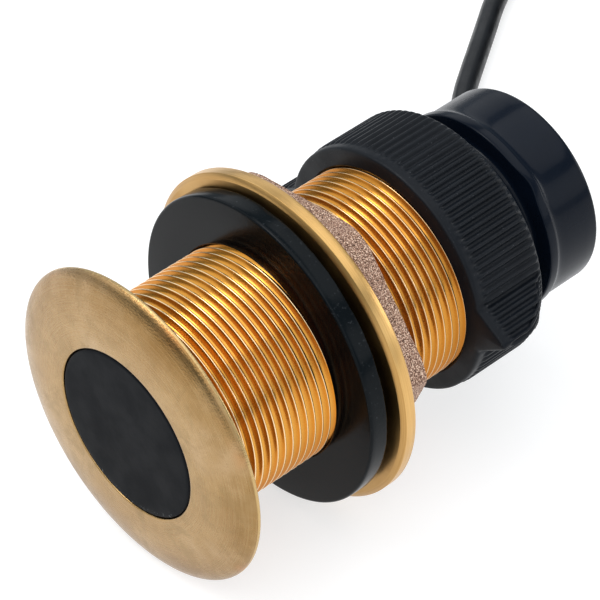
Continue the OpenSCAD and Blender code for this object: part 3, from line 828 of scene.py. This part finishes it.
# ---------------------------------------------------------------- cap nut
def cap_nut():
    z0, h, rb = 74.8, 20.2, 30.4
    # Outline: a circle with two opposite grip wings, as points by arc length.
    half = []
    wing = [(29.6, -6.0)] + [(36.3 + 1.3*math.cos(math.radians(x)), 1.3*math.sin(math.radians(x)))
                             for x in range(-48, 49, 12)] + [(29.6, 6.0)]
    w = np.array(wing)
    a0 = math.atan2(6.0, 29.6)
    arc_pts = np.array([(rb*math.cos(x), rb*math.sin(x)) for x in np.linspace(a0 + 0.03, math.pi - a0 - 0.03, 120)])
    half = np.vstack([w, arc_pts])
    full = np.vstack([half, -half])
    rot = np.array([[0, -1], [1, 0]])
    full = full @ rot.T
    loop = np.vstack([full, full[:1]])
    seg = np.linalg.norm(np.diff(loop, axis=0), axis=1)
    cum = np.concatenate([[0], np.cumsum(seg)])
    ribs, per = round(cum[-1]/2.03), 12
    n = ribs*per
    s = np.arange(n)/n*cum[-1]
    out = np.stack([np.interp(s, cum, loop[:, 0]), np.interp(s, cum, loop[:, 1])], -1)
    # Soften the outline a little, so that the wings run into the round.
    for _ in range(10):
        out = (np.roll(out, 1, 0) + 2*out + np.roll(out, -1, 0))/4
    ph = (np.arange(n) % per)/per
    groove = np.clip(1.25*(0.5 + 0.5*np.cos(2*math.pi*ph)) - 0.12, 0, 1)
    ang = np.arctan2(out[:, 1], out[:, 0])
    reach = np.linalg.norm(out, axis=1)
    rows = []

    def put(inset, z, cut):
        # The ridge of each wing falls to the round towards the rear.
        fall = max(rb, 37.8 - 7.7*min(1.0, max(0.0, z - 4.2)/14.0)**2)
        line = out*(np.minimum(reach, fall)/reach)[:, None]
        tan = np.roll(line, -1, 0) - np.roll(line, 1, 0)
        tan /= np.linalg.norm(tan, axis=1)[:, None]
        nor = np.stack([tan[:, 1], -tan[:, 0]], -1)
        p = line - nor*np.broadcast_to(inset + cut*groove, n)[:, None]
        rows.append(np.concatenate([p, np.full((n, 1), z0 + z)], 1))

    def put_round(r, z):
        rows.append(np.stack([r*np.cos(ang), r*np.sin(ang), np.full(n, z0 + z)], -1))

    put_round(25.48, 0.5)
    put_round(25.9, 0.0)
    put_round(28.4, 0.0)
    put(0.95, 0.0, 0)
    put(0.62, 0.10, 0)
    put(0.40, 0.42, 0)
    put(0.34, 1.0, 0)
    put(0.34, 1.9, 0)
    put(0.30, 2.2, 0.10)
    put(0.16, 2.5, 0.26)
    put(0.02, 2.9, 0.58)
    put(-0.02, 3.5, 0.74)
    for z in (4.2, 5.6, 7.0, 8.4, 9.8, 11.2, 12.6, 13.8, 15.0, 16.0, 17.0, 17.7):
        put(-0.02, z, 0.74)
    put(0.06, 18.3, 0.64)
    put(0.26, 18.8, 0.42)
    put(0.55, 19.2, 0.20)
    put(0.95, 19.6, 0.08)
    put(1.5, 19.95, 0)
    put(2.2, 20.15, 0)
    put_round(26.6, 20.2)
    put_round(21.4, 20.2)
    put_round(20.85, 19.9)
    put_round(20.8, 16.6)
    put_round(25.4, 16.6)
    sh = Shell()
    sh.grid(np.array(rows))
    return add("cap_nut_grip", sh.v, sh.f, "cap_plastic", ["cap_nut"], 42)


cap_nut()


# ---------------------------------------------------------------- insert
def insert():
    n = 192
    a = np.degrees(np.arange(n)*2*math.pi/n)
    notch = np.exp(-(((a - 224 + 180) % 360 - 180)/9.0)**2)
    wave = notch*1.0 + 0.12*np.sin(np.radians(a*3 + 40))
    prof = [(17.8, 4.0), (20.2, 4.0), (20.2, 9.0), (21.35, 10.2)]
    for zr in (16.0, 66.0):
        prof += [(21.35, zr - 1.5), (19.3, zr - 1.5), (19.3, zr + 1.5), (21.35, zr + 1.5)]
    prof += [(21.35, 87.0), (24.0, 87.0), (24.2, 87.2), (24.2, 91.2), (24.0, 91.4), (20.0, 91.4), (20.0, 100.6)]
    prof += arc(21.2, 100.8, 1.2, 180, 90, 4)
    lip = len(prof)
    prof += [(24.1, 102.0)] + arc(24.4, 102.4, 0.4, -90, 0, 4) + [(24.8, 103.2), (24.8, 104.0)]
    prof += [(24.76, 104.3), (24.6, 104.62), (24.42, 104.9), (24.30, 105.4), (24.22, 106.2), (24.2, 107.4)]
    prof += [(24.2, 110.0), (24.2, 114.0)]
    lip_end = len(prof)
    prof += arc(23.2, 116.7, 1.0, 0, 90, 6)
    prof += arc(22.1, 117.2, 0.5, 90, 180, 4) + [(21.6, 112.0)] + arc(20.8, 106.5, 0.8, 0, -90, 4)
    prof += [(10, 105.7), (3.5, 105.7), (3.25, 105.4), (3.25, 96.5), (17.8, 96.5)]
    rows = []
    for k, (r, z) in enumerate(prof):
        lift = wave*(1.0 - step(z, 103.0, 106.2)) if lip <= k < lip_end else 0.0
        rows.append(ring(n, r, z + lift))
    sh = Shell()
    sh.grid(np.array(rows))
    return add("insert_shell", sh.v, sh.f, "insert_plastic", ["insert_body"], 34)


insert()


# ---------------------------------------------------------------- window
def window():
    n = 160
    rows = lathe([(0.6, 0.02), (5, 0.015), (11, 0.0), (16, 0.0), (19.2, 0.0), (19.7, 0.04), (20.0, 0.16), (20.16, 0.36),
                  (20.2, 0.7), (20.2, 4.0), (12, 4.0), (4, 4.0)], n)
    sh = Shell()
    sh.capped(rows)
    return add("window_disc", sh.v, sh.f, "window_urethane", ["acoustic_window"], 30)


window()

# ---------------------------------------------------------------- inner pieces
for sub in frame["record"]["subparts"]:
    ob = cad[sub["node"]]
    ob.data.materials.clear()
    ob.data.materials.append(M[sub["material_slot"]])

# ---------------------------------------------------------------- floor and light
me = bpy.data.meshes.new("floor")
me.from_pydata([(-3, -3, 0), (3, -3, 0), (3, 3, 0), (-3, 3, 0)], [], [(0, 1, 2, 3)])
floor = bpy.data.objects.new("floor", me)
scene.collection.objects.link(floor)
fm = Mat("floor_lit_sheet", rough=0.9, Specular_IOR_Level=0.0, Emission_Color=(1, 1, 1, 1), Emission_Strength=0.66)
fm.set(fm.ramp(fm.noise(3, 2), (0.3, (0.44, 0.44, 0.44)), (0.7, (0.46, 0.46, 0.46))))
me.materials.append(fm.m)

world = bpy.data.worlds.new("studio")
scene.world = world
world.use_nodes = True
bg = world.node_tree.nodes["Background"]
bg.inputs["Color"].default_value = (0.74, 0.87, 1.0, 1)
bg.inputs["Strength"].default_value = 0.30


def softbox(name, at, look, size, power, color=(1, 1, 1)):
    ld = bpy.data.lights.new(name, "AREA")
    ld.shape = "RECTANGLE"
    ld.size, ld.size_y = size
    ld.energy = power
    ld.color = color
    ob = bpy.data.objects.new(name, ld)
    scene.collection.objects.link(ob)
    z = (np.array(at) - np.array(look)).astype(float)
    z /= np.linalg.norm(z)
    x = np.cross([0, 0, 1.0], z)
    x = x/np.linalg.norm(x) if np.linalg.norm(x) > 1e-6 else np.array([1.0, 0, 0])
    y = np.cross(z, x)
    ob.matrix_world = Matrix((tuple([x[0], y[0], z[0], at[0]]), tuple([x[1], y[1], z[1], at[1]]),
                              tuple([x[2], y[2], z[2], at[2]]), (0, 0, 0, 1)))
    return ob


softbox("top_box", (-0.6, 0.0, 1.3), (-0.55, 0.0, 0), (1.8, 2.0), 17)
softbox("glare_box", (-0.50, 0.42, 1.22), (0, 0, 0.04), (0.5, 0.5), 3.8)
softbox("front_card", (-0.62, -1.05, 0.74), (0, 0, 0.05), (1.5, 1.25), 5.2)
softbox("back_card", (1.0, 1.35, 0.85), (0, 0, 0.05), (1.3, 0.9), 3.0)
softbox("left_card", (-0.55, 1.25, 0.85), (0, 0, 0.04), (1.7, 0.9), 4.4)
softbox("rear_box", (0.74, -0.10, 1.12), (0, 0, 0.05), (1.5, 0.55), 3.9)
softbox("side_card", (0.66, -1.02, 0.42), (0, 0, 0.05), (0.6, 0.5), 1.2)
softbox("right_card", (1.5, -0.78, 0.48), (0, 0, 0.05), (0.6, 0.6), 5.0)
softbox("fore_card", (-1.75, 0.55, 1.05), (0, 0, 0.05), (0.9, 0.5), 0.6)
softbox("low_card", (-1.5, -1.1, 0.22), (0, 0, 0.05), (1.5, 0.40), 0.3)
